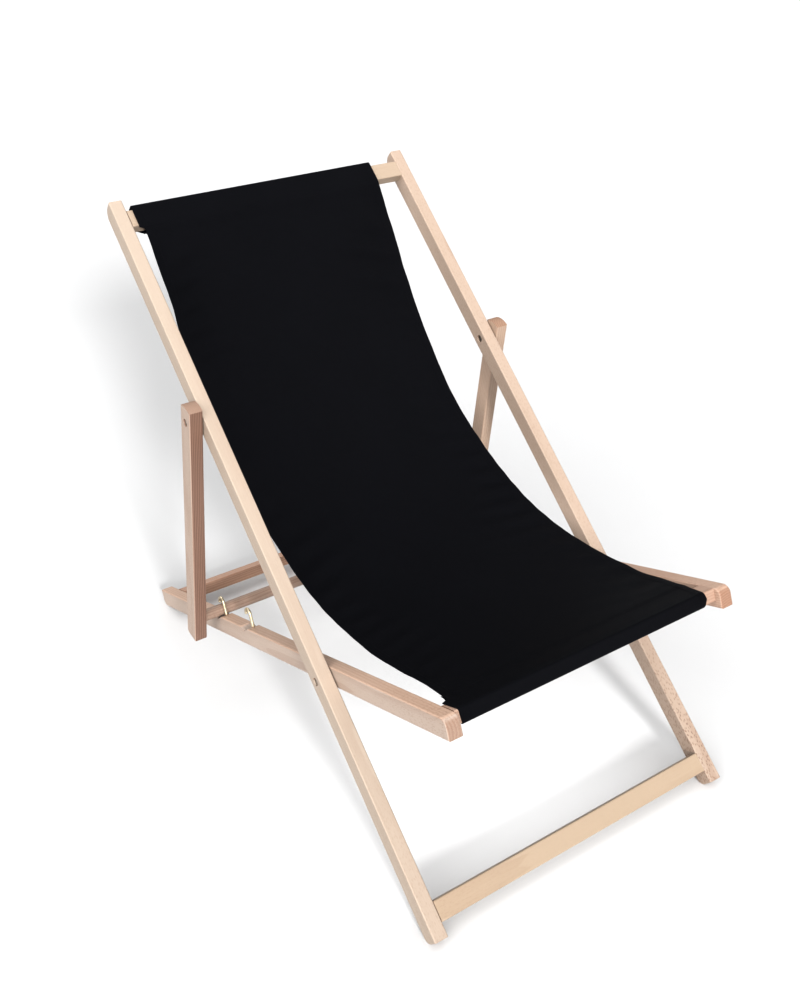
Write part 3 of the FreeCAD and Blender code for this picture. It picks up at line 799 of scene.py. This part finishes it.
def clothSection():
    # ring across the strip: sitter's face, rounded edge, under face with the hems' extra ply, rounded edge;
    # columns stand close together at the stitches' groove and at the hem's fold
    half, hem, ply = canvas["width"] / 2, canvas["hem"], canvas["ply"]
    edgeRound, grooveHalf = canvas["edgeRound"], canvas["grooveHalf"]
    row = hem - canvas["hemRow"]
    nearRow = row + grooveHalf * np.arange(-2, 2)
    nearFold = hem + np.array(canvas["foldColumns"])
    nearEdge = np.concatenate([[edgeRound], canvas["edgeColumns"], nearRow, nearFold])
    inner = np.linspace(-half + nearEdge[-1], half - nearEdge[-1], canvas["columns"])[1:-1]
    x = np.concatenate([nearEdge - half, inner, half - nearEdge[::-1]])
    fromEdge = half - np.abs(x)
    groove = canvas["groove"] * np.exp(-((fromEdge - row) / grooveHalf) ** 2)
    over = ply / 2 - groove
    foldFrom, foldTo = hem + np.array(canvas["hemFold"])
    under = -ply / 2 - canvas["hemPly"] * (1 - ease(fromEdge, foldFrom, foldTo)) + groove
    aroundEdge = np.linspace(0, math.pi, canvas["edgePoints"] + 2)[1:-1]
    thick = ply + canvas["hemPly"]
    edgeX = half - edgeRound + edgeRound * np.sin(aroundEdge)
    edgeLift = -canvas["hemPly"] / 2 + thick / 2 * np.cos(aroundEdge)
    ringX = np.concatenate([x, edgeX, x[::-1], -edgeX])
    ringLift = np.concatenate([over, edgeLift, under[::-1], edgeLift[::-1]])
    return ringX, ringLift, len(x), len(aroundEdge)


def sheetPoints(ringX, ringLift):
    # every station's ring, set off the path along its normal; the hem's extra ply fades out in the tails
    s, x = np.meshgrid(stations, ringX, indexing="ij")
    plain = np.clip(ringLift, -canvas["ply"] / 2, canvas["ply"] / 2)
    full = canvas["seamTail"] + canvas["tailFade"]
    plainTo = full * canvas["tailPlain"]
    whole = ease(stations, plainTo, full) * ease(stations[-1] - stations, plainTo, full)
    lift = plain + (ringLift - plain) * whole[:, None] + clothLift(x, s)
    place = path[:, None, :] + pathNormal[:, None, :] * lift[..., None]
    return np.concatenate([clothAcross(x, s)[..., None], place], -1), np.stack([x, s], -1)


clothLook = {"Thread": 0.0008, "Dark": (0.0017, 0.0018, 0.0029, 1), "Worn": (0.0046, 0.0049, 0.0075, 1)}
threadLook = {"Thread": 0.0008, "Dark": (0.0021, 0.0022, 0.0034, 1), "Worn": (0.0056, 0.0060, 0.0088, 1)}
blackGloss = {
    "Specular IOR Level": 0.07,
    "Sheen Weight": 0.006,
    "Sheen Roughness": 0.45,
    "Sheen Tint": (0.75, 0.8, 1.0, 1),
}


def canvasMaterial(name, look, bump):
    material, tree, shader = newMaterial(name)
    place = addNode(tree, "UVMap", uv_map="weave").outputs[0]
    dressShader(tree, shader, canvasWeave, {"Place": place, **look}, bump)
    for socket, value in blackGloss.items():
        shader.inputs[socket].default_value = value
    return material


blackCanvas = canvasMaterial("black_canvas", clothLook, bump=0.00022)
blackThread = canvasMaterial("black_thread", threadLook, bump=0.0001)


def canvasCloth():
    # a ring of points at each station, closed at both tails by quads between the faces and by the two rims
    ringX, ringLift, across, rim = clothSection()
    points, uv = sheetPoints(ringX, ringLift)
    rows, ring = points.shape[:2]
    faces = gridFaces(rows, ring)[:, ::-1].tolist()
    upper = np.arange(across - 1)
    lower = 2 * across + rim - 1 - upper
    ends = np.stack([upper, upper + 1, lower - 1, lower], 1)
    last = (rows - 1) * ring
    faces += ends.tolist() + (ends[:, ::-1] + last).tolist()
    right = np.arange(across - 1, across + rim + 1)
    left = np.append(np.arange(2 * across + rim - 1, ring), 0)
    for rimEnd in (right, left):
        faces += [rimEnd.tolist(), (rimEnd[::-1] + last).tolist()]
    return makePiece("canvas_cloth", points, faces, blackCanvas, uv)


# Stitching: short arched threads in rows down both hems and across both sleeve seams

stitching = dict(
    pitch=0.0042,
    length=0.0034,
    thread=0.00036,          # radius
    taper=0.45,              # share of it lost at the ends
    arch=0.00030,
    dip=0.00018,             # ends below the cloth's face
    sunk=0.0002,             # hem rows lie in their groove
    tailRoom=0.02,           # hem rows stop short of the tails
    edgeRoom=(0.004, 0.003),           # seam rows start and stop short of the edges
    seamRows=(0.003, 0.009),           # from where the seam starts
    sides=6,
    steps=5,
)


def onCloth(x, s, face):
    # place, direction along the strip and direction off its face, at cloth coordinates
    yz = np.stack([np.interp(s, stations, path[:, 0]), np.interp(s, stations, path[:, 1])], 1)
    normal = np.stack([np.interp(s, stations, pathNormal[:, 0]),
                       np.interp(s, stations, pathNormal[:, 1])], 1)
    normal /= np.linalg.norm(normal, axis=1)[:, None]
    off = clothLift(x, s) + face
    place = np.column_stack([clothAcross(x, s), yz + normal * off[:, None]])
    zero = np.zeros(len(s))
    up = np.column_stack([zero, normal])
    along = np.column_stack([zero, -normal[:, 1], normal[:, 0]])
    return place, along, up


def threads(place, going, up):
    # each stitch is a tube on an arch: height follows a half cosine and the ends dip into the cloth
    t = np.linspace(-1, 1, stitching["steps"])
    run = t * stitching["length"] / 2
    rise = stitching["arch"] * np.cos(t * math.pi / 2) - stitching["dip"]
    radius = stitching["thread"] * (1 - stitching["taper"] * t ** 4)
    aroundThread = np.linspace(0, 2 * math.pi, stitching["sides"], endpoint=False)
    side = np.cross(going, up)
    high = rise[:, None] + radius[:, None] * np.cos(aroundThread)
    wide = radius[:, None] * np.sin(aroundThread)
    return (place[:, None, None, :] + going[:, None, None, :] * run[:, None, None]
            + up[:, None, None, :] * high[..., None] + side[:, None, None, :] * wide[..., None])


def hemRows():
    # both hems, on the sitter's face and below
    inFrom = canvas["width"] / 2 - (canvas["hem"] - canvas["hemRow"])
    over, sunk = canvas["ply"] / 2, stitching["sunk"]
    room = canvas["seamTail"] + stitching["tailRoom"]
    along = np.arange(stations[0] + room, stations[-1] - room, stitching["pitch"])
    rows = []
    for hand in (-1, 1):
        x = np.full(len(along), hand * inFrom)
        for face, turn in ((over - sunk, 1), (sunk - over - canvas["hemPly"], -1)):
            place, going, up = onCloth(x, along, face)
            rows.append(threads(place, going, up * turn))
    return rows


def seamRows():
    # two rows across each sleeve's seam, on the sling's face and under the tail
    half, over = canvas["width"] / 2, canvas["ply"] / 2
    first, last = stitching["edgeRoom"]
    across = np.arange(first - half, half - last, stitching["pitch"])
    sideways = np.tile((1.0, 0.0, 0.0), (len(across), 1))
    top, front = slingStart + canvas["topSeam"], slingEnd - canvas["frontSeam"]
    rows = []
    for seam, inward in ((top, 1), (front, -1)):
        for step in stitching["seamRows"]:
            s = np.full(len(across), seam + inward * step)
            for face, turn in ((over, 1), (-over - canvas["seamGap"], -1)):
                place, _, up = onCloth(across, s, face)
                rows.append(threads(place, sideways, up * turn))
    return rows


def canvasStitches():
    # every tube with its two ends closed; the yarn's pattern lies on them by their place in the chair
    tubes = np.concatenate(hemRows() + seamRows())
    count, steps, sides = tubes.shape[:3]
    oneTube = gridFaces(steps, sides)
    first = np.arange(count) * steps * sides
    faces = (oneTube[None] + first[:, None, None]).reshape(-1, 4).tolist()
    ring = np.arange(sides)
    faces += (ring[::-1][None] + first[:, None]).tolist()
    faces += (ring[None] + (first + (steps - 1) * sides)[:, None]).tolist()
    points = tubes.reshape(-1, 3)
    return makePiece("canvas_stitches", points, faces, blackThread, points[:, :2])


cloth = canvasCloth()
stitches = canvasStitches()
blendStart = [0.0, *path[np.abs(stations - slingStart - canvas["blendFrom"]).argmin()]]
blendEnd = [0.0, *path[np.abs(stations - slingEnd + canvas["blendTo"]).argmin()]]
for piece in (cloth, stitches):
    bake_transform(piece)
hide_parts("canvas_sling", "canvas_top_hem", "canvas_front_hem")
print("canvas sewn:", len(cloth.data.polygons), "faces, stitches", len(stitches.data.polygons), "faces")


# Studio: pale floor, a low light from the front, a broad one overhead, a soft one from the side and one
# from behind for the frame alone, an even sky, and two panels that lighten the floor under the sling

studio = dict(
    floorHalf=30.0,
    floorDrop=0.0004,
    floorTone=(0.55, 0.55, 0.552, 1),
    floorRough=0.9,
    floorSpecular=0.1,
    white=(1.0, 1.0, 1.0, 1),
    skyStrength=0.42,
    gamma=0.8,           # the photograph's hard contrast
    lowLamps={           # watts, size, place
        "lowFront": (1.15, (0.42, 0.42), (0.0, -0.28, 0.27)),
        "lowRear": (0.28, (0.42, 0.26), (0.0, 0.28, 0.24)),
    },
)
lamps = {   # strength, degrees across, turn to the chair's left of straight ahead, height, what it lights
    "keyLight": (4.4, 9, -15, 24, "all"),
    "domeLight": (1.8, 110, -20, 82, "all"),
    "fillLight": (2.8, 60, -65, 27, "all"),
    "backLight": (1.7, 50, 180, 46, "frame"),
}


def studioFloor():
    half, drop = studio["floorHalf"], -studio["floorDrop"]
    mesh = bpy.data.meshes.new("floor")
    corners = [(-half, -half, drop), (half, -half, drop), (half, half, drop), (-half, half, drop)]
    mesh.from_pydata(corners, [], [(0, 1, 2, 3)])
    material, _, shader = newMaterial("floor_paint")
    shader.inputs["Base Color"].default_value = studio["floorTone"]
    shader.inputs["Roughness"].default_value = studio["floorRough"]
    shader.inputs["Specular IOR Level"].default_value = studio["floorSpecular"]
    mesh.materials.append(material)
    floor = bpy.data.objects.new("floor", mesh)
    bpy.context.scene.collection.objects.link(floor)
    return floor


def hangLamp(name, data, place):
    lamp = bpy.data.objects.new(name, data)
    lamp.matrix_world = place
    bpy.context.scene.collection.objects.link(lamp)
    return lamp


def limitLamp(lamp, pieces, state):
    # the lamp lights these pieces alone, or all but these
    chosen = bpy.data.collections.new(lamp.name + "_receivers")
    for piece in pieces:
        chosen.objects.link(piece)
    for member in chosen.collection_objects:
        member.light_linking.link_state = state
    lamp.light_linking.receiver_collection = chosen


def studioLamps(floor, fabric):
    for name, (strength, spread, turn, height, lights) in lamps.items():
        sun = bpy.data.lights.new(name, "SUN")
        sun.energy = strength
        sun.angle = math.radians(spread)
        around = Matrix.Rotation(math.radians(turn), 4, "Z")
        downward = Matrix.Rotation(math.radians(90 - height), 4, "X")
        lamp = hangLamp(name, sun, around @ downward)
        if lights == "frame":
            limitLamp(lamp, [floor, *fabric], "EXCLUDE")
    for name, (watts, size, place) in studio["lowLamps"].items():
        panel = bpy.data.lights.new(name, "AREA")
        panel.energy = watts
        panel.shape = "RECTANGLE"
        panel.size, panel.size_y = size
        lamp = hangLamp(name, panel, Matrix.Translation(place))
        lamp.visible_camera = False
        limitLamp(lamp, [floor], "INCLUDE")


def studioSky():
    # an even sky that lights the chair, seen as plain white
    world = bpy.data.worlds.new("studioSky")
    world.use_nodes = True
    tree = world.node_tree
    sky = tree.nodes["Background"]
    sky.inputs["Color"].default_value = studio["white"]
    sky.inputs["Strength"].default_value = studio["skyStrength"]
    backdrop = addNode(tree, "Background", {"Color": studio["white"]})
    seen = addNode(tree, "LightPath").outputs["Is Camera Ray"]
    both = addNode(tree, "MixShader", {0: seen, 1: sky.outputs[0], 2: backdrop.outputs[0]})
    tree.links.new(both.outputs[0], tree.nodes["World Output"].inputs["Surface"])
    bpy.context.scene.world = world
    bpy.context.scene.view_settings.view_transform = "Standard"
    bpy.context.scene.view_settings.gamma = studio["gamma"]


# Camera: solved from the chair's own corners in the photograph, for an 800 x 1000 picture

cameraView = dict(
    place=(-0.92183, -1.38651, 1.41941),
    turn=-35.894,        # degrees about Z, 0 looks along +Y
    fall=28.830,         # below the horizon
    roll=0.959,
    focalPixels=1230.13,
    centre=(451.58, 433.52),
    picture=(800, 1000),
    sensor=36.0,
)


def photoCamera():
    view = cameraView
    wide, tall = view["picture"]
    data = bpy.data.cameras.new("photoCamera")
    data.sensor_width = view["sensor"]
    data.lens = view["focalPixels"] * view["sensor"] / tall
    data.shift_x = (wide / 2 - view["centre"][0]) / tall
    data.shift_y = (view["centre"][1] - tall / 2) / tall
    camera = bpy.data.objects.new("photoCamera", data)
    turn, fall, roll = (math.radians(view[key]) for key in ("turn", "fall", "roll"))
    camera.matrix_world = (Matrix.Translation(view["place"]) @ Matrix.Rotation(turn, 4, "Z")
                           @ Matrix.Rotation(math.pi / 2 - fall, 4, "X") @ Matrix.Rotation(roll, 4, "Z"))
    bpy.context.scene.collection.objects.link(camera)
    bpy.context.scene.camera = camera


studioLamps(studioFloor(), (cloth, stitches))
studioSky()
photoCamera()
print("studio ready")
